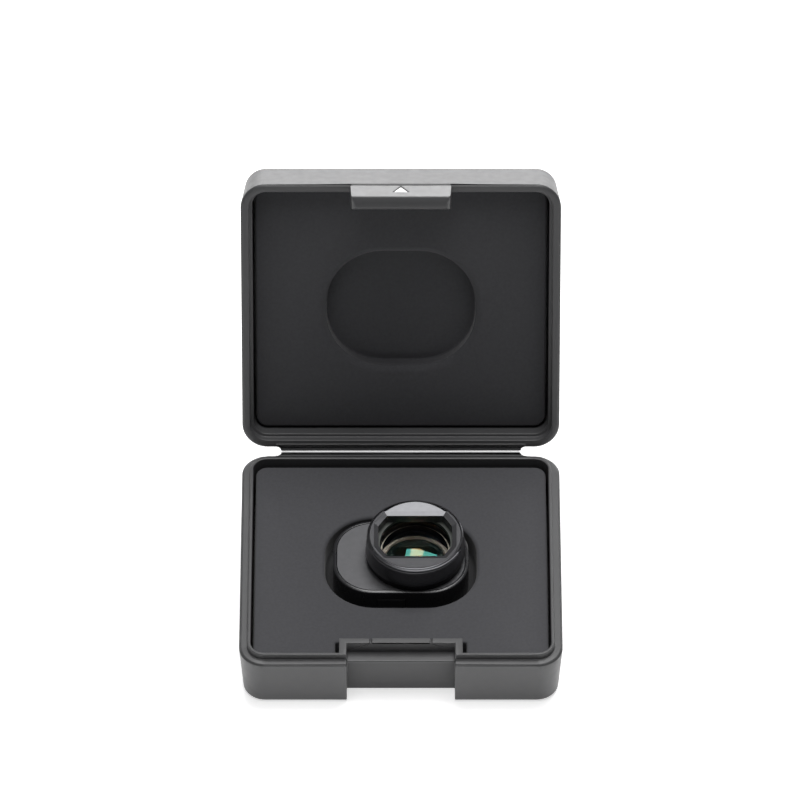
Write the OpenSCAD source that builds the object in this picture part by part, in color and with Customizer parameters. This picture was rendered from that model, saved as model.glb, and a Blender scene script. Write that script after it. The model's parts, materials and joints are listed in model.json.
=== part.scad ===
// Clip-on converter lens in a hinged, foam-lined case.
// The origin is the centre of the case's underside, +Z is up and -Y is the latch side.

/* [Case] */
// Width of the case along the hinge
case_w = 56; // [54:0.5:64]
// Depth of each half, from back wall to front wall
case_d = 50.6; // [49:0.2:58]
// Height of the lower half up to its rim
base_h = 10; // [9.8:0.1:12]
// Height of the upper half from its rim to its outer face
lid_h = 9.5; // [9.4:0.1:12]
// Plan radius of the case's corners
corner_r = 4.5; // [4:0.1:6]
// How far each wall leans in at the outer face
draft = 0.65; // [0.3:0.05:0.9]
// Radius of the outer edges
edge_r = 1; // [0.5:0.1:1.2]
// Thickness of the floor and the ceiling
skin = 1.3; // [1:0.1:1.5]

/* [Rim] */
// Width of the flat land outside the raised lip
land_w = 1.5; // [1.3:0.05:1.7]
// Thickness of the raised lip
lip_w = 0.55; // [0.4:0.05:0.7]
// Height of the raised lip above the land
lip_h = 1.15; // [0.8:0.05:1.2]
// Sideways clearance of the lip in the lid's rebate
lip_gap = 0.07; // [0.05:0.01:0.1]
// Shadow step along the outer edge of the land
shadow_step = 0.3; // [0.2:0.05:0.4]

/* [Hinge] */
// Angle of the lid at rest, from closed
open_deg = 110.5; // [95:0.5:130]
// Distance of the fold behind the back walls
fold_offset = 0.81; // [0.7:0.01:1]
// Width of the hinge web at the fold
web_w = 42.3; // [30:0.1:44]
// Radius of the bead at the fold
bead_r = 0.2; // [0.15:0.01:0.25]

/* [Latch] */
// Width of the notch in the lower half
notch_w = 18.7; // [17:0.1:22]
// Depth of the notch, from the front wall to the wall behind the tab
notch_depth = 3.9; // [3.8:0.1:4.2]
// Thickness of the wall around the notch
notch_wall = 1.33; // [1:0.01:1.5]
// Width of the tab at its root
tab_w = 17.7; // [16:0.1:18]
// Length of the tab below the rim
tab_len = 5.5; // [5:0.1:6]
// How far the tab's hook reaches under the ledge
hook_grip = 0.43; // [0.3:0.01:0.45]

/* [Foam] */
// Gap between the foam and the walls
foam_gap = 0.45; // [0.3:0.05:0.7]
// Top of the lower foam, below the rim
base_foam_drop = 0.4; // [0.2:0.1:1]
// Face of the upper foam, inside the lid's rim
lid_foam_drop = 3.6; // [3.2:0.1:3.8]
// Width of the pocket for the lens
pocket_w = 26.5; // [26:0.1:30]
// Depth of the pocket, from front to back
pocket_d = 21.4; // [20.5:0.1:24]
// Depth of the recess in the upper foam
recess_depth = 3.1; // [3:0.1:3.2]
// Thickness of the adhesive pads
pad_t = 0.15; // [0.1:0.05:0.2]

/* [Adapter] */
// Width of the adapter plate
plate_w = 23.6; // [23:0.1:25]
// Depth of the adapter plate
plate_d = 17.3; // [16.8:0.1:18.4]
// Corner radius of the adapter plate
plate_r = 7; // [5:0.1:8]
// Height of the adapter's skirt
skirt_h = 5.5; // [5.4:0.1:6]
// Height of the adapter's face above the rim
plate_rise = 0.9; // [0.7:0.1:1.1]
// Width of the sloped band round the adapter's face
crown_w = 0.45; // [0.3:0.05:0.5]
// Thickness of the skirt's wall
skirt_t = 1; // [0.8:0.05:1.05]
// Width of each snap arm
arm_w = 4.9; // [3:0.1:5]

/* [Lens] */
// Sideways offset of the lens axis from the adapter's centre
lens_x = 2.5; // [2:0.1:2.8]
// Height of the front ring above the adapter's face
ring_rise = 5.55; // [5.4:0.05:5.7]
// Radius of the front ring at its top edge
ring_r = 8.4; // [8.4:0.05:8.6]
// Half width of the hood's opening
hood_x = 6.4; // [5.8:0.1:6.4]
// Half depth of the hood's opening
hood_y = 4.83; // [4.5:0.01:4.84]
// Radius of the bore that holds the elements
cell_r = 7; // [6.9:0.01:7]
// Radius of the socket for the camera's lens nose
socket_r = 6.6; // [6.2:0.1:6.6]

/* [Hidden] */
$fn = 96;
eps = 0.01;
over = 1;

// Case
front_y = -case_d / 2;
hinge_y = case_d / 2 + fold_offset;
rim_inset = land_w + lip_w;
rim_gap = 0.1;
lip_top = base_h + lip_h;
lid_top = base_h + lid_h;
lid_ceiling = lid_top - skin + rim_gap;
rebate_depth = lip_h + 0.3;
step_depth = 0.2;
leaf_t = 1.3;
leaf_drop = 0.08;
fold_t = 0.2;
slot_r = 0.8;

// Latch
notch_y = front_y + notch_depth;
notch_draft = 0.4;
wall_back_y = notch_y + 1.5;
pocket_front_y = notch_y + notch_draft;
ledge_top = base_h - 1.1;
ledge_t = 0.5;
nose_y = front_y + 2;
hook_top = ledge_top - ledge_t - 0.1;
hook_y = nose_y + hook_grip;
neck_y = nose_y - 0.3;
tab_bottom = base_h - tab_len;
tab_bevel_y = 1.05;
tab_bevel_z = 0.45;
tab_taper = 0.2;
tab_corner_r = 0.9;
root_r = 0.2;
root_y = front_y + root_r;
root_z = base_h - rim_gap - root_r;
mark_half_w = 1.5;
mark_h = 2.7;
mark_stroke = 0.36;
mark_depth = 0.2;
mark_top = base_h - 0.35;

// Foam
foam_r = corner_r - rim_inset - foam_gap;
foam_w = case_w - 2 * (rim_inset + foam_gap);
foam_d = case_d - 2 * (rim_inset + foam_gap);
base_foam_top = base_h - base_foam_drop;
lid_foam_face = base_h + lid_foam_drop;
pad_inset = 1.5;
pocket_r = 8.8;
recess_w = 26.2;
recess_d = 22;
recess_r = 10;
recess_y = 0.2;
foam_slot = 0.7;

// Adapter
lens_y = -0.2;
plate_z = base_h + plate_rise;
skirt_z = plate_z - skirt_h;
pocket_floor = skirt_z - 0.05;
crown_h = 0.15;
face_t = 0.6;
face_inset = 0.62;
face_gap = 0.06;
web_t = 0.7;
web_z = plate_z - face_t - web_t;
arm_t = 1;
arm_x = -1.65;
arm_gap = 0.1;
arm_root_z = plate_z - 2.2;
arm_foot_z = skirt_z + 0.2;
arm_bump = 0.35;
arm_bump_h = 0.8;
arm_y = plate_d / 2 - arm_t / 2;

// Barrel, as heights above the adapter's face
seam_h = 1.35;
seam_gap = 0.1;
tube_top = 5;
boss_r = cell_r + 0.55;
boss_foot = -3.9;
socket_top = -2.8;
shoulder_top = -2.6;
shoulder_r = 5.9;
tube_r = 8;
flange_r = ring_r - 0.05;
sleeve_r = ring_r + 0.3;
hood_top = ring_rise - 0.07;
hood_foot = 3.6;
hood_body_r = 7.5;
hood_bevel_w = 0.8;
hood_bevel_h = 0.3;
hood_cut_x = 1.5;
hood_cut_y = 2.5;
shelf_tilt = 9;
shelf_y = 5.65;

// Optical stack, as heights above the adapter's face
fit_gap = 0.03;
front_apex = 3.4;
front_curve_r = 18;
front_back_apex = 2.1;
front_back_r = 9;
front_foot = 0.1;
front_clear_r = sqrt(front_back_r * front_back_r
                     - pow(front_back_r - front_back_apex + front_foot, 2));
seal_r = 0.32;
seal_ring_r = 6.5;
retainer_foot = 2.92;
retainer_top = 3.5;
retainer_r = 6.15;
spacer_top = 0.07;
spacer_foot = -0.85;
second_foot = -1.48;
second_curve_r = 30;
second_dip = 0.3;
second_clear_r = sqrt(second_curve_r * second_curve_r - pow(second_curve_r - second_dip, 2));
stop_foot = -1.64;
stop_x = 4.2;
stop_y = 3.3;
stop_corner_r = 1.6;
doublet_r = 6.4;
cement_r = 60;
cement_apex = -2.42;
socket_len = 0.8;
seat_r = 6.9;
gasket_t = 0.2;
gasket_in_r = 5.9;

// Flat outline with true round corners
module plan(w, d, r) {
    square([w - 2 * r, d], center = true);
    square([w, d - 2 * r], center = true);
    for (sx = [-1, 1], sy = [-1, 1])
        translate([sx * (w / 2 - r), sy * (d / 2 - r)]) circle(r);
}

// Upright block with the outline of the case, inset all round
module inset_block(inset, z0, z1) {
    translate([0, 0, z0])
        linear_extrude(z1 - z0)
            plan(case_w - 2 * inset, case_d - 2 * inset, corner_r - inset);
}

// Outer wall seen in section, from a corner's centre outwards
module wall_section(h) {
    foot = corner_r - draft;
    polygon([[0, 0], [foot - edge_r, 0], [foot, edge_r], [corner_r, h], [0, h]]);
    translate([foot - edge_r, edge_r]) circle(edge_r);
}

// Whole section across the case
module full_section(half, h) {
    translate([-(half - corner_r), 0]) square([2 * (half - corner_r), h]);
    for (side = [0, 1])
        mirror([side, 0]) translate([half - corner_r, 0]) wall_section(h);
}

// Solid half of the case, with its outer face at zero and its rim at h
module drafted_block(h) {
    rotate([90, 0, 0])
        linear_extrude(case_d - 2 * corner_r, center = true) full_section(case_w / 2, h);
    rotate([90, 0, 90])
        linear_extrude(case_w - 2 * corner_r, center = true) full_section(case_d / 2, h);
    for (sx = [-1, 1], sy = [-1, 1])
        translate([sx * (case_w / 2 - corner_r), sy * (case_d / 2 - corner_r), 0])
            rotate_extrude() wall_section(h);
}

// Points of an arc of radius r about the axis, from x0 to x1, with its apex at height z
function cap(r, x0, x1, z, steps = 10) =
    [for (i = [0:steps])
        let (x = x0 + (x1 - x0) * i / steps)
        [x, z + sign(r) * (abs(r) - sqrt(r * r - x * x))]];

// Box between two corners
module span(a, b) {
    translate(a) cube(b - a);
}

// Moves what is drawn closed to the lid's rest position
module opened() {
    translate([0, hinge_y, base_h])
        rotate([-open_deg, 0, 0])
            translate([0, -hinge_y, -base_h]) children();
}

// Turns what is drawn below the rim plane to lie above it
module above_rim() {
    translate([0, 0, 2 * base_h]) mirror([0, 0, 1]) children();
}

// Moves what is drawn about the lens axis into place
module on_axis() {
    translate([lens_x, lens_y, plate_z]) children();
}

// Ring or disc between two heights
module ring(r_out, r_in, z0, z1) {
    difference() {
        translate([0, 0, z0]) cylinder(h = z1 - z0, r = r_out);
        if (r_in > 0) translate([0, 0, z0 - over]) cylinder(h = z1 - z0 + 2 * over, r = r_in);
    }
}

// Bevelled leaf that runs from a back wall to the fold
module hinge_leaf() {
    wall_y = case_d / 2;
    half = web_w / 2;
    difference() {
        rotate([90, 0, 90])
            linear_extrude(2 * (half + slot_r), center = true)
                difference() {
                    polygon([[wall_y - draft, base_h - leaf_t],
                             [wall_y + eps, base_h - leaf_t + 0.2],
                             [hinge_y, base_h - leaf_drop - fold_t],
                             [hinge_y, base_h - leaf_drop],
                             [wall_y - draft, base_h - leaf_drop]]);
                    translate([hinge_y, base_h]) circle(bead_r + 0.02, $fn = 32);
                }
        for (side = [-1, 1])
            translate([side * (half + slot_r), hinge_y, base_h - 2 * leaf_t])
                cylinder(h = 3 * leaf_t, r = slot_r);
    }
}

// Step that runs round the outer edge of a land
module shadow_cut() {
    difference() {
        inset_block(-over, base_h - step_depth, base_h + over);
        inset_block(shadow_step, base_h - step_depth - over, base_h + 2 * over);
    }
}

module base_shell() {
    outer_x = notch_w / 2 + notch_wall;
    color("#4b4b4d")
    difference() {
        union() {
            difference() {
                union() {
                    drafted_block(base_h);
                    inset_block(land_w, base_h - over, lip_top);
                }
                inset_block(rim_inset, skin, lip_top + over);
                shadow_cut();
            }
            intersection() {
                span([-outer_x, front_y - over, 0], [outer_x, wall_back_y, lip_top]);
                union() {
                    inset_block(rim_inset - eps, 0, lip_top);
                    inset_block(draft + eps, edge_r, base_h - over);
                }
            }
            hinge_leaf();
        }
        difference() {
            union() {
                span([-notch_w / 2, front_y - over, -over], [notch_w / 2, notch_y, lip_top + over]);
                span([-notch_w / 2, front_y - over, ledge_top],
                     [notch_w / 2, pocket_front_y, lip_top + over]);
            }
            ledge();
        }
        for (side = [-1, 1])
            translate([side * 5.2, wall_back_y, lip_top]) rotate([90, 0, 0])
                cylinder(h = 3, r = 0.15, center = true, $fn = 16);
    }
}

// Ledge with a round nose that the tab's hook snaps under
module ledge() {
    nose_r = ledge_t / 2;
    span([-notch_w / 2 - over, nose_y + nose_r, ledge_top - ledge_t],
         [notch_w / 2 + over, notch_y + over, ledge_top]);
    translate([0, nose_y + nose_r, ledge_top - nose_r]) rotate([0, 90, 0])
        cylinder(h = notch_w + 2 * over, r = nose_r, center = true, $fn = 32);
}

module base_foam() {
    slot_x = notch_w / 2 + notch_wall + foam_slot;
    floor_z = skin + pad_t;
    color("#45474b")
    difference() {
        translate([0, 0, floor_z])
            linear_extrude(base_foam_top - floor_z) plan(foam_w, foam_d, foam_r);
        translate([0, lens_y, pocket_floor])
            linear_extrude(base_foam_top) plan(pocket_w, pocket_d, pocket_r);
        span([-slot_x, front_y, 0], [slot_x, wall_back_y + foam_gap, lip_top]);
    }
}

module base_adhesive_pad() {
    color("#8d8f92")
    difference() {
        translate([0, 0, skin])
            linear_extrude(pad_t)
                plan(foam_w - 2 * pad_inset, foam_d - 2 * pad_inset, foam_r);
        span([-notch_w, front_y, 0], [notch_w, wall_back_y + pad_inset, base_h]);
    }
}

module hinge_film() {
    color("#6a6a6d")
    translate([0, hinge_y, base_h]) rotate([0, 90, 0])
        cylinder(h = web_w - 0.4, r = bead_r, center = true, $fn = 32);
}

// Rail under the lid's front wall that the tab's round root bears on
module tab_rail() {
    half = tab_w / 2 - tab_taper;
    span([-half, front_y + 0.05, root_z + root_r],
         [half, front_y + 0.45, base_h + rim_gap + step_depth + 0.05]);
}

module lid_shell() {
    color("#58585b")
    opened() {
        difference() {
            union() {
                translate([0, 0, lid_top]) mirror([0, 0, 1]) drafted_block(lid_h - rim_gap);
                above_rim() hinge_leaf();
            }
            inset_block(rim_inset, base_h - over, lid_ceiling);
            inset_block(land_w - lip_gap, base_h - over, base_h + rebate_depth);
            translate([0, 0, rim_gap]) above_rim() shadow_cut();
        }
        tab_rail();
    }
}

module lid_foam() {
    color("#2d2e33")
    opened() difference() {
        translate([0, 0, lid_foam_face])
            linear_extrude(lid_ceiling - pad_t - lid_foam_face) plan(foam_w, foam_d, foam_r);
        translate([0, recess_y, lid_foam_face - over])
            linear_extrude(recess_depth + over) plan(recess_w, recess_d, recess_r);
    }
}

module lid_adhesive_pad() {
    color("#8d8f92")
    opened()
        translate([0, 0, lid_ceiling - pad_t])
            linear_extrude(pad_t)
                plan(foam_w - 2 * pad_inset, foam_d - 2 * pad_inset, foam_r);
}

// Tab seen from its side, with the hook on its inner face
module tab_section() {
    polygon([[front_y, root_z], [front_y, tab_bottom + tab_bevel_z],
             [front_y + tab_bevel_y, tab_bottom], [hook_y - 0.3, tab_bottom],
             [hook_y, tab_bottom + 0.3], [hook_y, hook_top - 0.25], [hook_y - 0.25, hook_top],
             [neck_y, hook_top], [neck_y, root_z]]);
    translate([root_y, root_z]) circle(root_r, $fn = 48);
}

// Tab seen from the front, with a slight taper and round lower corners
module tab_front() {
    low = tab_w / 2 - tab_taper;
    corner_z = tab_bottom + tab_corner_r;
    polygon([[-tab_w / 2, base_h], [-low, corner_z], [-low + tab_corner_r, tab_bottom],
             [low - tab_corner_r, tab_bottom], [low, corner_z], [tab_w / 2, base_h]]);
    for (side = [-1, 1])
        translate([side * (low - tab_corner_r), corner_z]) circle(tab_corner_r);
}

// Triangle with its point towards the lid
module mark_outline(top, half_w, h) {
    polygon([[0, top], [half_w, top - h], [-half_w, top - h]]);
}

module latch_tab() {
    color("#c3c3c6")
    opened() difference() {
        intersection() {
            rotate([90, 0, 90]) linear_extrude(tab_w + over, center = true) tab_section();
            rotate([90, 0, 0]) linear_extrude(2 * case_d, center = true) tab_front();
        }
        translate([0, front_y + mark_depth, 0]) rotate([90, 0, 0])
            linear_extrude(over) mark_outline(mark_top, mark_half_w, mark_h);
    }
}

module arrow_mark() {
    inner_h = mark_h - mark_stroke * 1.8;
    color("#f4f4f4")
    opened()
        translate([0, front_y + mark_depth, 0]) rotate([90, 0, 0])
            linear_extrude(mark_depth - 0.02)
                mark_outline(mark_top - mark_stroke * 1.8, mark_half_w * inner_h / mark_h, inner_h);
}

// Section across a block whose upper edges slope down
module crowned_section(half, h) {
    polygon([[-half, 0], [half, 0], [half, h - crown_h], [half - crown_w, h],
             [crown_w - half, h], [-half, h - crown_h]]);
}

// Block with round corners and a sloped band round its upper face
module crowned_block(w, d, r, h) {
    rotate([90, 0, 0]) linear_extrude(d - 2 * r, center = true) crowned_section(w / 2, h);
    rotate([90, 0, 90]) linear_extrude(w - 2 * r, center = true) crowned_section(d / 2, h);
    for (sx = [-1, 1], sy = [-1, 1])
        translate([sx * (w / 2 - r), sy * (d / 2 - r), 0])
            rotate_extrude()
                polygon([[0, 0], [r, 0], [r, h - crown_h], [r - crown_w, h], [0, h]]);
}

module mount_frame() {
    slot_half = arm_w / 2 + arm_gap;
    color("#1d1d20")
    translate([0, lens_y, 0])
    difference() {
        translate([0, 0, skirt_z]) crowned_block(plate_w, plate_d, plate_r, skirt_h);
        translate([0, 0, plate_z - face_t])
            linear_extrude(face_t + over)
                plan(plate_w - 2 * face_inset, plate_d - 2 * face_inset, plate_r - face_inset);
        translate([0, 0, skirt_z - over])
            linear_extrude(web_z - skirt_z + over)
                plan(plate_w - 2 * skirt_t, plate_d - 2 * skirt_t, plate_r - skirt_t);
        translate([lens_x, 0, web_z - over]) cylinder(h = web_t + 2 * over, r = boss_r + fit_gap);
        for (side = [-1, 1])
            span([arm_x - slot_half, side * plate_d / 2 - skirt_t - over, skirt_z - over],
                 [arm_x + slot_half, side * plate_d / 2 + skirt_t + over,
                  arm_root_z + arm_t / 2 + arm_gap]);
    }
}

module face_plate() {
    shrink = 2 * (face_inset + face_gap);
    color("#3f4044")
    translate([0, lens_y, 0])
    difference() {
        translate([0, 0, plate_z - face_t])
            linear_extrude(face_t - 0.04)
                plan(plate_w - shrink, plate_d - shrink, plate_r - shrink / 2);
        translate([lens_x, 0, plate_z - face_t - over])
            cylinder(h = face_t + 2 * over, r = boss_r + fit_gap);
    }
}

// Snap arm on the long side towards +Y, hung from a round root
module snap_arm() {
    color("#1d1d20")
    translate([arm_x, lens_y, 0]) {
        span([-arm_w / 2, arm_y - arm_t / 2, arm_foot_z], [arm_w / 2, arm_y + arm_t / 2, arm_root_z]);
        translate([0, arm_y, arm_root_z]) rotate([0, 90, 0])
            cylinder(h = arm_w, r = arm_t / 2, center = true, $fn = 48);
        translate([0, arm_y - arm_t / 2, arm_foot_z + arm_bump_h / 2]) rotate([0, 90, 0])
            cylinder(h = arm_w, r = arm_bump, center = true, $fn = 32);
    }
}

module clip_front() {
    translate([0, 2 * lens_y, 0]) mirror([0, 1, 0]) snap_arm();
}

module clip_back() {
    snap_arm();
}

module lens_barrel() {
    color("#19191c")
    on_axis() difference() {
        union() {
            ring(flange_r, 0, 0, seam_h);
            ring(tube_r, 0, seam_h - eps, tube_top);
            ring(boss_r, 0, boss_foot, eps);
        }
        translate([0, 0, shoulder_top]) cylinder(h = tube_top - shoulder_top, r = cell_r);
        translate([0, 0, hood_foot - eps]) cylinder(h = tube_top, r = hood_body_r + fit_gap);
        translate([0, 0, socket_top - over]) cylinder(h = 2 * over, r = shoulder_r);
        translate([0, 0, boss_foot - over]) cylinder(h = socket_len + over, r = socket_r);
        translate([0, 0, boss_foot + socket_len])
            cylinder(h = socket_top - boss_foot - socket_len, r = seat_r);
    }
}

module front_ring() {
    foot = seam_h + seam_gap;
    lip_in = 7.98;
    crown = ring_rise - 0.1;
    color("#232326")
    on_axis() rotate_extrude()
        polygon([[tube_r + fit_gap, foot], [sleeve_r, foot], [ring_r, crown - 0.12],
                 [ring_r - 0.06, crown], [lip_in + 0.04, ring_rise], [lip_in, ring_rise - 0.03],
                 [lip_in, tube_top + eps], [tube_r + fit_gap, tube_top + eps]]);
}

// Opening of the hood, a rectangle with its corners cut
module hood_opening(grow) {
    x = hood_x + grow;
    y = hood_y + grow;
    cx = hood_cut_x + grow * 0.4;
    cy = hood_cut_y + grow * 0.4;
    polygon([[x, y - cy], [x - cx, y], [cx - x, y], [-x, y - cy],
             [-x, cy - y], [cx - x, -y], [x - cx, -y], [x, cy - y]]);
}

module hood_baffle() {
    waist = hood_top - hood_bevel_h;
    color("#6f7073")
    on_axis() difference() {
        union() {
            ring(7.95, 0, tube_top + 0.02, hood_top);
            ring(hood_body_r, 0, hood_foot + 0.02, tube_top + 0.03);
        }
        translate([0, 0, hood_foot - over]) linear_extrude(hood_top) hood_opening(0);
        hull() {
            translate([0, 0, waist]) linear_extrude(eps) hood_opening(0);
            translate([0, 0, hood_top]) linear_extrude(eps) hood_opening(hood_bevel_w);
        }
        translate([0, 7.95, hood_top]) rotate([shelf_tilt, 0, 0])
            span([-10, shelf_y - 7.95, 0], [10, 2, 2]);
    }
}

module retaining_ring() {
    color("#1b1b1d")
    on_axis() ring(cell_r - fit_gap, retainer_r, retainer_foot, retainer_top);
}

module front_seal() {
    color("#101011")
    on_axis() translate([0, 0, retainer_foot - seal_r - 0.01])
        rotate_extrude() translate([seal_ring_r, 0]) circle(seal_r, $fn = 32);
}

module front_lens() {
    edge = cell_r - fit_gap;
    color("#303a44", 0.4)
    on_axis() rotate_extrude()
        polygon(concat(cap(-front_curve_r, 0, edge, front_apex), [[edge, front_foot]],
                       cap(-front_back_r, front_clear_r, 0, front_back_apex)));
}

module spacer_ring() {
    top_r = 5.8;
    throat_r = 5.3;
    bevel = 0.35;
    color("#b9b4a2")
    on_axis() rotate_extrude()
        polygon([[throat_r, spacer_foot], [cell_r - fit_gap, spacer_foot],
                 [cell_r - fit_gap, spacer_top], [top_r, spacer_top],
                 [throat_r, spacer_top - bevel]]);
}

module second_lens() {
    edge = cell_r - fit_gap;
    top = spacer_foot - 0.02;
    color("#2d4038", 0.5)
    on_axis() rotate_extrude()
        polygon(concat(cap(second_curve_r, 0, second_clear_r, top - second_dip),
                       [[second_clear_r, top], [edge, top], [edge, second_foot], [0, second_foot]]));
}

module aperture_stop() {
    color("#151516")
    on_axis() difference() {
        ring(cell_r - fit_gap, 0, stop_foot, second_foot - 0.02);
        translate([0, 0, stop_foot - over])
            linear_extrude(2 * over) plan(2 * stop_x, 2 * stop_y, stop_corner_r);
    }
}

module rear_crown() {
    top = stop_foot - 0.02;
    color("#22352e", 0.6)
    on_axis() rotate_extrude()
        polygon(concat(cap(cement_r, 0, doublet_r, cement_apex), [[doublet_r, top], [0, top]]));
}

module rear_flint() {
    foot = shoulder_top + 0.01;
    color("#22352e", 0.6)
    on_axis() rotate_extrude()
        polygon(concat(cap(cement_r, 0, doublet_r, cement_apex - 0.01), [[doublet_r, foot], [0, foot]]));
}

module rear_gasket() {
    color("#111112")
    on_axis() ring(seat_r - fit_gap, gasket_in_r, socket_top - gasket_t, socket_top - 0.01);
}

base_shell();
base_foam();
base_adhesive_pad();
hinge_film();
lid_shell();
lid_foam();
lid_adhesive_pad();
latch_tab();
arrow_mark();
mount_frame();
face_plate();
clip_front();
clip_back();
lens_barrel();
front_ring();
hood_baffle();
retaining_ring();
front_seal();
front_lens();
spacer_ring();
second_lens();
aperture_stop();
rear_crown();
rear_flint();
rear_gasket();
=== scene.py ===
import json
import math

import bmesh
import bpy
from mathutils import Matrix, Vector


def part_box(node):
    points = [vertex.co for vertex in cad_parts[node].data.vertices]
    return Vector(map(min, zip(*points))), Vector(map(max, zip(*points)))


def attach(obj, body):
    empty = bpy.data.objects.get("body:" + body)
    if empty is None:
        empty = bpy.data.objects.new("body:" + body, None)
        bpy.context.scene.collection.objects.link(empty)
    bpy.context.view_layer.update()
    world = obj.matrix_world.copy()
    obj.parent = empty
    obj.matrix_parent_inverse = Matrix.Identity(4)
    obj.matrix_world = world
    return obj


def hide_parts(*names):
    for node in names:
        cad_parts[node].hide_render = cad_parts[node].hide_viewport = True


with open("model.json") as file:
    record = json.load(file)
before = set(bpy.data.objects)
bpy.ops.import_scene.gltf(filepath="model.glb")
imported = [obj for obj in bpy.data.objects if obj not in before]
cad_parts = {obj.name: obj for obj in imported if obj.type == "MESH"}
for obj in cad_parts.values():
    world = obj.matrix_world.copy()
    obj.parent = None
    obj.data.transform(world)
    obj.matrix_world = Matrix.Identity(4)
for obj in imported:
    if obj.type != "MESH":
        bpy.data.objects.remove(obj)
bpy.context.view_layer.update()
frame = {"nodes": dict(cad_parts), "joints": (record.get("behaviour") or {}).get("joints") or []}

MM = 0.001
HAIR = 1e-5
NODES = frame["nodes"]
JOINTS = {joint["name"]: joint for joint in frame["joints"]}

# Camera: its angle below level, its distance, the point it looks at and its focal length in mm
CAMERA_DROP = math.radians(45.43)
CAMERA_FAR = 1.4826
CAMERA_AIM = Vector((-0.15, 29.13, 20.0)) * MM
CAMERA_LENS = 378.9

# Foam, in the case's own directions with the lid closed
EDGE = 0.35 * MM
POCKET_SIZE = (26.5 * MM, 21.4 * MM, 8.8 * MM)
POCKET_CENTRE = (0.0, -0.2 * MM)
POCKET_DEPTH = 4.25 * MM
POCKET_EDGE = 0.7 * MM
# Depth below the top from which the pocket's faces get painted shade, a darker foam colour
POCKET_SHADE_FROM = POCKET_EDGE * 0.7
FRONT_CUT_HALF = 11.38 * MM
FRONT_CUT_BACK = 3.35 * MM
RECESS_SIZE = (26.2 * MM, 22.0 * MM, 10.0 * MM)
RECESS_CENTRE = (0.0, 0.2 * MM)
RECESS_DEPTH = 3.1 * MM
CHAMFER = (1.15 * MM, 0.8 * MM)
FOAM_CORNER = 2.0 * MM
FRONT_CUT_CORNER = 0.3 * MM

# Curves of the front element
DOME_RADIUS = 18.0 * MM
HOLLOW_RADIUS = 9.0 * MM
HOLLOW_APEX = 2.0 * MM

# Chevron on the tab: its half width and its top, with the lid closed
CHEVRON = (1.48 * MM, 9.63 * MM)
CHEVRON_GAP = 0.03 * MM
# Thickness of the dark sheet that paints shade into the chevron groove
CHEVRON_SHADE_THICKNESS = 0.16 * MM

# The spacer is pale inside this radius, a ring of painted highlight on its blackened metal
HIGHLIGHT_RADIUS = 5.72 * MM
HIGHLIGHT_BLUR = 0.05 * MM

# Noise: its detail, and the range that most of it lies in
NOISE_DETAIL = 3.0
NOISE_LOW = 0.3
NOISE_HIGH = 0.7

# Edges: where smooth shading breaks, where a bevel starts, and how close points are welded
SHARP_ANGLE = math.radians(38)
BEVEL_ANGLE = math.radians(32)
WELD_REACH = 0.002 * MM

# Colours, as linear values
CASE_COLOUR = (0.058, 0.058, 0.060)
# Painted highlight: near-white colour on the hinge bead for the bright line along the fold
HINGE_HIGHLIGHT_COLOUR = (0.85, 0.85, 0.86)
MARK_COLOUR = (0.85, 0.85, 0.85)
# Painted shade: near-black colour of the sheet in the chevron groove
CHEVRON_SHADE_COLOUR = (0.02, 0.02, 0.02)
PAD_COLOUR = (0.25, 0.25, 0.26)
FOAM_COLOUR = (0.046, 0.046, 0.051)
# Painted shade: darker foam colour for the deep faces of the lens pocket
POCKET_SHADE_COLOUR = (0.012, 0.012, 0.013)
# Painted shade: the lid holds the same foam as the base, given a darker copy of its colour
LID_FOAM_SHADED_COLOUR = (0.034, 0.034, 0.038)
ADAPTER_COLOUR = (0.018, 0.018, 0.020)
PLATE_COLOUR = (0.085, 0.085, 0.09)
BARREL_COLOUR = (0.004, 0.004, 0.005)
RING_COLOUR = (0.075, 0.075, 0.08)
HOOD_COLOUR = (0.085, 0.085, 0.09)
STOP_COLOUR = (0.06, 0.066, 0.06)
SEAL_COLOUR = (0.01, 0.01, 0.01)
# Pale colour of the spacer's inner ring, a painted highlight; the rest of the spacer is blackened metal
SPACER_HIGHLIGHT_COLOUR = (0.62, 0.58, 0.47)
SPACER_BLACK = (0.01, 0.01, 0.01)
FLOOR_COLOUR = (0.92, 0.92, 0.92)

# Glass: its tint, and the coating's thickness in nanometres
FRONT_GLASS = ((1, 1, 1), 400)
SECOND_GLASS = ((0.92, 0.97, 0.93), 500)
REAR_GLASS = ((0.9, 0.97, 0.92), 500)
GLASS_IOR = 1.52
COATING_IOR = 1.38

# Studio: name, place, aim, size in metres, and power in watts
LIGHTS = (
    ("overhead_softbox", (0.05, 0.24, 0.75), (0, 0, 0), (0.40, 0.42), 4.8),
    ("front_fill", (0.02, -0.08, 0.8), (0, -0.04, 0.02), (0.6, 0.3), 2.4),
    ("back_panel", (0.16, 1.3, 0.33), (0, 0, 0.05), (1.6, 0.6), 17.5),
)
WORLD_STRENGTH = 0.06
FLOOR_HALF = 3.0
FLOOR_GLOW = 0.62


# ---------------------------------------------------------------- outlines and lofts

def rounded_outline(corners, inset, steps=10):
    """Points round an anticlockwise outline of square corners (x, y, radius), drawn in by inset."""
    points = []
    count = len(corners)
    for i, (x, y, radius) in enumerate(corners):
        before = Vector(corners[i - 1][:2])
        here = Vector((x, y))
        after = Vector(corners[(i + 1) % count][:2])
        into = (here - before).normalized()
        out = (after - here).normalized()
        turn = into.x * out.y - into.y * out.x
        left_in = Vector((-into.y, into.x))
        left_out = Vector((-out.y, out.x))
        r = max(radius - inset if turn > 0 else radius + inset, HAIR)
        centre = here + inset * (left_in + left_out) + r * (out - into)
        for k in range(steps + 1):
            a = 0.5 * math.pi * k / steps
            points.append(centre + r * (into * math.sin(a) - out * math.cos(a)))
    return points


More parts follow.
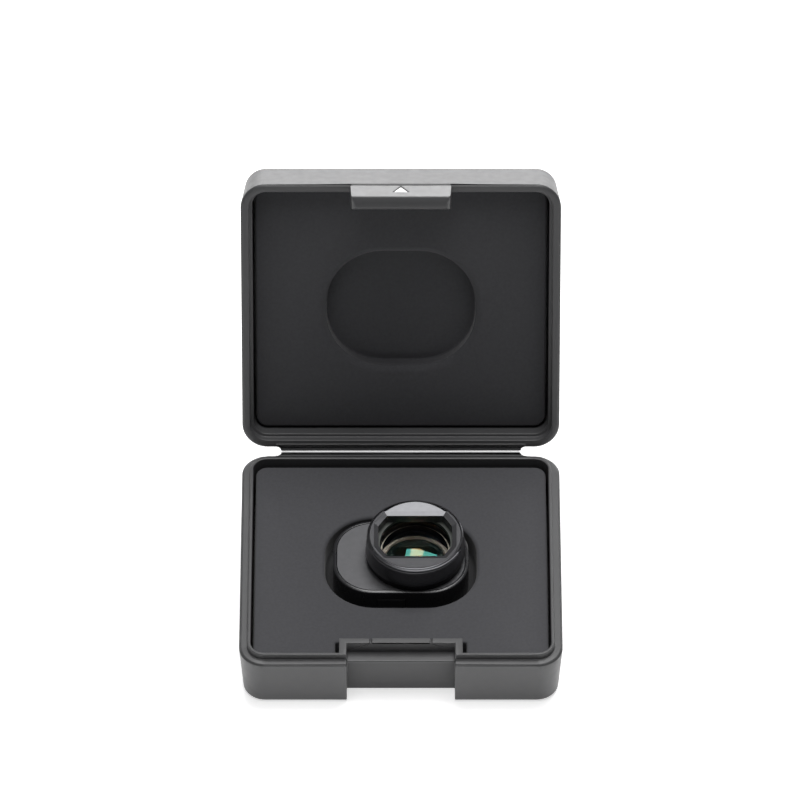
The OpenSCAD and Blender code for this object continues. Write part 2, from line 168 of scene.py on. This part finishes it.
def rectangle(size, centre=(0.0, 0.0)):
    """Corners of a rounded rectangle of (width, depth, radius)."""
    w, d, r = size
    x, y = centre
    return [(x + w / 2, y - d / 2, r), (x + w / 2, y + d / 2, r),
            (x - w / 2, y + d / 2, r), (x - w / 2, y - d / 2, r)]


def loop_at(mesh, corners, inset, z):
    """New points of the mesh round an outline, at height z."""
    return [mesh.verts.new((p.x, p.y, z)) for p in rounded_outline(corners, inset)]


def bridge(mesh, low, high):
    """Joins two loops of the same count with quads."""
    count = len(low)
    for i in range(count):
        j = (i + 1) % count
        mesh.faces.new((low[i], low[j], high[j], high[i]))


def fillet_steps(radius, steps=5):
    """Pairs of (inset, drop) round a quarter circle from its upright side to its flat side."""
    quarter = [0.5 * math.pi * k / steps for k in range(steps + 1)]
    return [(radius * (1 - math.cos(a)), radius * (1 - math.sin(a))) for a in quarter]


def fill_between(mesh, *loops):
    """Fills the flat area that the loops bound."""
    edges = []
    for loop in loops:
        for i, vert in enumerate(loop):
            other = loop[(i + 1) % len(loop)]
            edges.append(mesh.edges.get((vert, other)) or mesh.edges.new((vert, other)))
    bmesh.ops.triangle_fill(mesh, edges=edges, use_beauty=True)


def foam_block(outer, outer_z, hole, hole_profile, shade_below):
    """Closed block of foam: a soft-edged outline with a soft-edged hollow in its upper face.
    The hollow's faces deeper than the given depth get the second material, a darker colour that paints
    shade deep in the hollow."""
    mesh = bmesh.new()
    low_z, top_z = outer_z
    bottom = loop_at(mesh, outer, 0, low_z)
    below = bottom
    for inset, drop in fillet_steps(EDGE):
        above = loop_at(mesh, outer, inset, top_z - drop)
        bridge(mesh, below, above)
        below = above
    rings = [loop_at(mesh, hole, inset, top_z - drop) for inset, drop in hole_profile]
    for upper, lower in zip(rings, rings[1:]):
        bridge(mesh, upper, lower)
    fill_between(mesh, below, rings[0])
    fill_between(mesh, rings[-1])
    fill_between(mesh, bottom)
    bmesh.ops.recalc_face_normals(mesh, faces=mesh.faces)
    hollow = rounded_outline(hole, -HAIR)
    reach_x = max(abs(p.x) for p in hollow)
    reach_y = max(abs(p.y) for p in hollow)
    # Painted shade: faces deep in the hollow get the second, darker material
    for face in mesh.faces:
        middle = face.calc_center_median()
        inside = abs(middle.x) < reach_x and abs(middle.y) < reach_y
        if inside and low_z + EDGE / 10 < middle.z < top_z - shade_below:
            face.material_index = 1
    return mesh


def add_piece(name, mesh, turn=None):
    """Makes an object of a mesh, smooth except at its sharp edges."""
    data = bpy.data.meshes.new(name)
    mesh.to_mesh(data)
    mesh.free()
    if turn is not None:
        data.transform(turn)
    data.polygons.foreach_set("use_smooth", [True] * len(data.polygons))
    data.set_sharp_from_angle(angle=SHARP_ANGLE)
    piece = bpy.data.objects.new(name, data)
    bpy.context.scene.collection.objects.link(piece)
    return piece


def lid_turn():
    """Turn that takes the closed lid to its place at rest."""
    hinge = JOINTS["lid_hinge"]
    point = Vector(hinge["pos_m"])
    closed = math.radians(min(hinge["range_deg"]))
    turn = Matrix.Rotation(-closed, 4, Vector(hinge["axis"]))
    return Matrix.Translation(point) @ turn @ Matrix.Translation(-point)


def box_when_closed(node):
    """Corners of a lid node's box with the lid closed."""
    back = lid_turn().inverted()
    points = [back @ v.co for v in NODES[node].data.vertices]
    low = [min(p[i] for p in points) for i in range(3)]
    high = [max(p[i] for p in points) for i in range(3)]
    return low, high


# ---------------------------------------------------------------- materials

def new_material(name, colour, roughness, specular=0.5, metallic=0.0):
    """Principled material with its uniform values on the shader's own sockets."""
    mat = bpy.data.materials.new(name)
    mat.use_nodes = True
    shader = mat.node_tree.nodes["Principled BSDF"]
    shader.inputs["Base Color"].default_value = (*colour, 1)
    shader.inputs["Roughness"].default_value = roughness
    shader.inputs["Specular IOR Level"].default_value = specular
    shader.inputs["Metallic"].default_value = metallic
    return mat, shader


def noise(tree, size):
    """Noise whose features are about size metres across."""
    place = tree.nodes.new("ShaderNodeTexCoord")
    texture = tree.nodes.new("ShaderNodeTexNoise")
    texture.inputs["Scale"].default_value = 1 / size
    texture.inputs["Detail"].default_value = NOISE_DETAIL
    tree.links.new(place.outputs["Object"], texture.inputs["Vector"])
    return texture.outputs["Fac"]


def spread(tree, value, low, high):
    """Maps noise onto low to high."""
    span = tree.nodes.new("ShaderNodeMapRange")
    span.inputs["From Min"].default_value = NOISE_LOW
    span.inputs["From Max"].default_value = NOISE_HIGH
    span.inputs["To Min"].default_value = low
    span.inputs["To Max"].default_value = high
    tree.links.new(value, span.inputs["Value"])
    return span.outputs["Result"]


def mottle(tree, shader, colour, amount, size):
    """Lets the base colour drift by amount over patches of size metres."""
    ramp = tree.nodes.new("ShaderNodeValToRGB")
    ends = ((NOISE_LOW, 1 - amount), (NOISE_HIGH, 1 + amount))
    for stop, (position, factor) in zip(ramp.color_ramp.elements, ends):
        stop.position = position
        stop.color = (*[c * factor for c in colour], 1)
    tree.links.new(noise(tree, size), ramp.inputs["Fac"])
    tree.links.new(ramp.outputs["Color"], shader.inputs["Base Color"])


def grain(tree, shader, size, depth, strength):
    """Fine bumps of size metres across and depth metres high."""
    bump = tree.nodes.new("ShaderNodeBump")
    bump.inputs["Strength"].default_value = strength
    bump.inputs["Distance"].default_value = depth
    tree.links.new(noise(tree, size), bump.inputs["Height"])
    tree.links.new(bump.outputs["Normal"], shader.inputs["Normal"])


def satin_plastic(name, colour, roughness, specular=0.5, texture=0.16 * MM, strength=0.22):
    """Moulded plastic with a fine spark-eroded texture."""
    drift = 0.04
    mat, shader = new_material(name, colour, roughness, specular)
    tree = mat.node_tree
    mottle(tree, shader, colour, 0.05, 9 * MM)
    gloss = spread(tree, noise(tree, 1.4 * MM), roughness - drift, roughness + drift)
    tree.links.new(gloss, shader.inputs["Roughness"])
    grain(tree, shader, texture, 0.02 * MM, strength)
    return mat


def foam(name, colour):
    """Close-celled foam with a fine skin."""
    mat, shader = new_material(name, colour, 0.75, 0.3)
    tree = mat.node_tree
    mottle(tree, shader, colour, 0.08, 0.5 * MM)
    shader.inputs["Sheen Weight"].default_value = 0.12
    shader.inputs["Sheen Roughness"].default_value = 0.6
    grain(tree, shader, 0.22 * MM, 0.03 * MM, 0.3)
    return mat


def anodised(name, colour, roughness, metallic, specular=0.5):
    """Blackened metal with a fine blasted finish."""
    mat, shader = new_material(name, colour, roughness, specular, metallic)
    tree = mat.node_tree
    mottle(tree, shader, colour, 0.06, 1.2 * MM)
    grain(tree, shader, 0.09 * MM, 0.008 * MM, 0.15)
    return mat


def glass(name, tint, coating_nm, specular=0.3):
    """Polished glass with a thin coating that colours its reflections."""
    mat, shader = new_material(name, tint, 0.0, specular)
    shader.inputs["Transmission Weight"].default_value = 1.0
    shader.inputs["IOR"].default_value = GLASS_IOR
    shader.inputs["Thin Film Thickness"].default_value = coating_nm
    shader.inputs["Thin Film IOR"].default_value = COATING_IOR
    grain(mat.node_tree, shader, 3 * MM, 0.0005 * MM, 0.02)
    return mat


def axis_distance(tree, node):
    """Distance from the upright axis through the middle of a CAD node's box."""
    low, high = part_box(node)
    place = tree.nodes.new("ShaderNodeTexCoord")
    offset = tree.nodes.new("ShaderNodeVectorMath")
    offset.operation = "SUBTRACT"
    offset.inputs[1].default_value = [(a + b) / 2 for a, b in zip(low, high)]
    flat = tree.nodes.new("ShaderNodeVectorMath")
    flat.operation = "MULTIPLY"
    flat.inputs[1].default_value = (1, 1, 0)
    reach = tree.nodes.new("ShaderNodeVectorMath")
    reach.operation = "LENGTH"
    tree.links.new(place.outputs["Object"], offset.inputs[0])
    tree.links.new(offset.outputs["Vector"], flat.inputs[0])
    tree.links.new(flat.outputs["Vector"], reach.inputs[0])
    return reach.outputs["Value"]


def spacer_black_and_highlight():
    """Blackened metal with a pale ring inside a radius: a painted highlight on its inner bevel."""
    mat, shader = new_material("spacer_black_and_highlight", SPACER_HIGHLIGHT_COLOUR, 0.45)
    tree = mat.node_tree
    # Mask for the painted highlight: pale inside the radius, black outside
    highlight_mask = tree.nodes.new("ShaderNodeMapRange")
    highlight_mask.inputs["From Min"].default_value = HIGHLIGHT_RADIUS
    highlight_mask.inputs["From Max"].default_value = HIGHLIGHT_RADIUS + HIGHLIGHT_BLUR
    mix = tree.nodes.new("ShaderNodeMix")
    mix.data_type = "RGBA"
    mix.inputs["A"].default_value = (*SPACER_HIGHLIGHT_COLOUR, 1)
    mix.inputs["B"].default_value = (*SPACER_BLACK, 1)
    tree.links.new(axis_distance(tree, "spacer_ring"), highlight_mask.inputs["Value"])
    tree.links.new(highlight_mask.outputs["Result"], mix.inputs["Factor"])
    tree.links.new(mix.outputs["Result"], shader.inputs["Base Color"])
    grain(tree, shader, 0.1 * MM, 0.01 * MM, 0.1)
    return mat


def dress(material, *nodes):
    """Gives CAD nodes a material."""
    for name in nodes:
        slots = NODES[name].data.materials
        slots.clear()
        slots.append(material)


def soften(width, *nodes, segments=2):
    """Rounds the sharp edges of CAD nodes with a small bevel."""
    for name in nodes:
        node = NODES[name]
        weld = node.modifiers.new("weld", "WELD")
        weld.merge_threshold = WELD_REACH
        bevel = node.modifiers.new("bevel", "BEVEL")
        bevel.width = width
        bevel.segments = segments
        bevel.limit_method = "ANGLE"
        bevel.angle_limit = BEVEL_ANGLE
        bevel.use_clamp_overlap = False
        normals = node.modifiers.new("normals", "WEIGHTED_NORMAL")
        normals.keep_sharp = False


# ---------------------------------------------------------------- pieces

def make_base_foam():
    """Lower foam, cut out at the front for the latch and hollowed for the lens."""
    (x0, y0, z0), (x1, y1, z1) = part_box("base_foam")
    cut = y0 + FRONT_CUT_BACK
    r = FOAM_CORNER
    small = FRONT_CUT_CORNER
    outer = [(x1, y0, r), (x1, y1, r), (x0, y1, r), (x0, y0, r),
             (-FRONT_CUT_HALF, y0, small), (-FRONT_CUT_HALF, cut, small),
             (FRONT_CUT_HALF, cut, small), (FRONT_CUT_HALF, y0, small)]
    pocket = rectangle(POCKET_SIZE, POCKET_CENTRE)
    profile = pocket_profile(POCKET_EDGE, POCKET_DEPTH)
    mesh = foam_block(outer, (z0, z1), pocket, profile, POCKET_SHADE_FROM)
    piece = add_piece("base_foam_insert", mesh)
    piece.data.materials.append(foam("base_foam_skin", FOAM_COLOUR))
    # Second material: painted shade on the pocket's deep faces
    piece.data.materials.append(foam("base_foam_painted_shade", POCKET_SHADE_COLOUR))
    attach(piece, "base")
    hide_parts("base_foam")


def pocket_profile(edge, depth, steps=5):
    """(inset, drop) down a hollow: a rounded lip, an upright wall and a rounded foot."""
    quarter = [0.5 * math.pi * k / steps for k in range(steps + 1)]
    lip = [(-edge * (1 - math.sin(a)), edge * (1 - math.cos(a))) for a in quarter]
    foot = [(edge * (1 - math.cos(a)), depth - edge * (1 - math.sin(a))) for a in quarter]
    return lip + foot


def recess_profile(depth, steps=6):
    """(inset, drop) down the lid's hollow: a wide soft chamfer, an upright wall and a small foot."""
    wide, deep = CHAMFER
    lip = []
    for k in range(steps + 1):
        t = k / steps
        lip.append((-wide * (1 - t), deep * (0.35 * t + 0.65 * t * t)))
    quarter = [0.5 * math.pi * k / 4 for k in range(5)]
    foot = [(EDGE * (1 - math.cos(a)), depth - EDGE * (1 - math.sin(a))) for a in quarter]
    return lip + foot


def make_lid_foam():
    """Upper foam. It is built with its hollow upwards and mirrored, so that the hollow faces the base."""
    (x0, y0, z0), (x1, y1, z1) = box_when_closed("lid_foam")
    r = FOAM_CORNER
    outer = [(x1, y0, r), (x1, y1, r), (x0, y1, r), (x0, y0, r)]
    mirror = Matrix.Scale(-1, 4, Vector((0, 0, 1)))
    hollow = rectangle(RECESS_SIZE, RECESS_CENTRE)
    mesh = foam_block(outer, (-z1, -z0), hollow, recess_profile(RECESS_DEPTH), RECESS_DEPTH)
    piece = add_piece("lid_foam_insert", mesh, lid_turn() @ mirror)
    piece.data.flip_normals()
    # Darker copy of the foam colour: painted shade on the lid's foam
    piece.data.materials.append(foam("lid_foam_shaded_skin", LID_FOAM_SHADED_COLOUR))
    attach(piece, "lid")
    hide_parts("lid_foam")


def arc_down(radius, reach, apex, steps=24):
    """(distance from the axis, height) down a dome from its apex to reach."""
    return [(reach * k / steps, apex - radius + math.sqrt(radius ** 2 - (reach * k / steps) ** 2))
            for k in range(steps + 1)]


def lathe(profile, centre, segments=144):
    """Closed solid turned about an upright axis from a profile that starts and ends on the axis."""
    mesh = bmesh.new()
    x, y = centre[:2]
    turns = [2 * math.pi * k / segments for k in range(segments)]
    first = mesh.verts.new((x, y, profile[0][1]))
    last = mesh.verts.new((x, y, profile[-1][1]))
    rings = [[mesh.verts.new((x + r * math.cos(a), y + r * math.sin(a), z)) for a in turns]
             for r, z in profile[1:-1]]
    for low, high in zip(rings, rings[1:]):
        bridge(mesh, low, high)
    for i in range(segments):
        j = (i + 1) % segments
        mesh.faces.new((first, rings[0][j], rings[0][i]))
        mesh.faces.new((last, rings[-1][i], rings[-1][j]))
    bmesh.ops.recalc_face_normals(mesh, faces=mesh.faces)
    return mesh


def make_front_element():
    """Smoothly curved front element in the place of the CAD one, which is cut in steps."""
    low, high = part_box("front_lens")
    centre = [(a + b) / 2 for a, b in zip(low, high)]
    edge = (high[0] - low[0]) / 2
    hollow_reach = math.sqrt(HOLLOW_RADIUS ** 2 - (HOLLOW_RADIUS - HOLLOW_APEX) ** 2)
    hollow = arc_down(HOLLOW_RADIUS, hollow_reach, low[2] + HOLLOW_APEX)
    profile = arc_down(DOME_RADIUS, edge, high[2]) + [(edge, low[2])] + hollow[::-1]
    piece = add_piece("front_element", lathe(profile, centre))
    piece.data.materials.append(glass("front_glass", *FRONT_GLASS, specular=0.14))
    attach(piece, "lens")
    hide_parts("front_lens")


def make_chevron():
    """Painted shade: a dark sheet in the groove round the arrow on the tab, drawn with the lid closed."""
    (x0, y0, z0), (x1, y1, z1) = box_when_closed("arrow_mark")
    outer_half, outer_top = CHEVRON
    spots = [(-outer_half, z0), (0.0, outer_top), (outer_half, z0), (x1 + CHEVRON_GAP, z0),
             (0.0, z1 + 2 * CHEVRON_GAP), (x0 - CHEVRON_GAP, z0)]
    mesh = bmesh.new()
    front = [mesh.verts.new((x, y1 - CHEVRON_SHADE_THICKNESS, z)) for x, z in spots]
    back = [mesh.verts.new((x, y1, z)) for x, z in spots]
    for strip in ((0, 1, 4, 5), (1, 2, 3, 4)):
        mesh.faces.new([front[i] for i in strip])
        mesh.faces.new([back[i] for i in reversed(strip)])
    bridge(mesh, front, back)
    bmesh.ops.recalc_face_normals(mesh, faces=mesh.faces)
    piece = add_piece("chevron_painted_shade", mesh, lid_turn())
    # The sheet's near-black colour is painted shade in the groove
    piece.data.materials.append(satin_plastic("chevron_shade_material", CHEVRON_SHADE_COLOUR, 0.7, 0.2))
    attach(piece, "latch")


def dress_case():
    """Case shells, latch, hinge and pads."""
    dress(satin_plastic("case_plastic", CASE_COLOUR, 0.42), "base_shell", "lid_shell")
    # The hinge bead is painted near white, a painted highlight for the bright fold line
    dress(satin_plastic("hinge_painted_highlight", HINGE_HIGHLIGHT_COLOUR, 0.3, strength=0.05), "hinge_film")
    soften(0.15 * MM, "base_shell", "lid_shell", segments=3)
    dress(satin_plastic("tab_plastic", CASE_COLOUR, 0.36), "latch_tab")
    soften(0.12 * MM, "latch_tab")
    dress(satin_plastic("mark_paint", MARK_COLOUR, 0.5, strength=0.05), "arrow_mark")
    dress(satin_plastic("pad_film", PAD_COLOUR, 0.6), "base_adhesive_pad", "lid_adhesive_pad")


def dress_adapter():
    """Stadium-shaped adapter and its cover plate."""
    body = satin_plastic("lens_plastic", ADAPTER_COLOUR, 0.3, texture=0.12 * MM, strength=0.12)
    dress(body, "mount_frame", "clip_front", "clip_back")
    soften(0.14 * MM, "mount_frame", segments=3)
    dress(anodised("face_finish", PLATE_COLOUR, 0.5, 0.35), "face_plate")
    soften(0.04 * MM, "face_plate")


def dress_lens():
    """Barrel, hood and the optical stack."""
    dress(anodised("barrel_finish", BARREL_COLOUR, 0.35, 0.0, 0.3), "lens_barrel")
    dress(anodised("ring_finish", RING_COLOUR, 0.28, 0.9), "front_ring")
    soften(0.14 * MM, "lens_barrel", "front_ring", segments=3)
    dress(anodised("hood_finish", HOOD_COLOUR, 0.3, 0.6), "hood_baffle")
    dress(anodised("black_metal", STOP_COLOUR, 0.5, 0.3), "retaining_ring", "aperture_stop")
    dress(satin_plastic("seal_rubber", SEAL_COLOUR, 0.7), "front_seal", "rear_gasket")
    dress(spacer_black_and_highlight(), "spacer_ring")
    dress(glass("second_glass", *SECOND_GLASS), "second_lens")
    dress(glass("rear_glass", *REAR_GLASS), "rear_crown", "rear_flint")


# ---------------------------------------------------------------- stage, lights and camera

def make_floor():
    """Pale paper floor that glows a little, so that it stays white round the case."""
    mesh = bmesh.new()
    signs = ((-1, -1), (1, -1), (1, 1), (-1, 1))
    mesh.faces.new([mesh.verts.new((sx * FLOOR_HALF, sy * FLOOR_HALF, 0)) for sx, sy in signs])
    floor = add_piece("studio_floor", mesh)
    mat, shader = new_material("floor_paper", FLOOR_COLOUR, 0.9, 0.1)
    shader.inputs["Emission Color"].default_value = (1, 1, 1, 1)
    shader.inputs["Emission Strength"].default_value = FLOOR_GLOW
    floor.data.materials.append(mat)


def area_light(name, place, aim, size, power):
    """Rectangular lamp of size (width, height) at place, turned towards aim."""
    data = bpy.data.lights.new(name, "AREA")
    data.shape = "RECTANGLE"
    data.size, data.size_y = size
    data.energy = power
    lamp = bpy.data.objects.new(name, data)
    lamp.location = place
    lamp.rotation_euler = (Vector(aim) - Vector(place)).to_track_quat("-Z", "Y").to_euler()
    bpy.context.scene.collection.objects.link(lamp)


def make_lights():
    """Soft studio lamps and a faint even surround."""
    for light in LIGHTS:
        area_light(*light)
    world = bpy.data.worlds.new("studio")
    world.use_nodes = True
    back = world.node_tree.nodes["Background"]
    back.inputs["Color"].default_value = (1, 1, 1, 1)
    back.inputs["Strength"].default_value = WORLD_STRENGTH
    bpy.context.scene.world = world
    bpy.context.scene.view_settings.view_transform = "Standard"


def make_camera():
    """Long lens that looks down on the case from the front."""
    data = bpy.data.cameras.new("camera")
    data.sensor_width = 36
    data.lens = CAMERA_LENS
    camera = bpy.data.objects.new("camera", data)
    look = Vector((0, math.cos(CAMERA_DROP), -math.sin(CAMERA_DROP)))
    camera.location = CAMERA_AIM - look * CAMERA_FAR
    camera.rotation_euler = look.to_track_quat("-Z", "Y").to_euler()
    bpy.context.scene.collection.objects.link(camera)
    bpy.context.scene.camera = camera


make_camera()
make_base_foam()
make_lid_foam()
make_chevron()
make_front_element()
dress_case()
dress_adapter()
dress_lens()
make_floor()
make_lights()
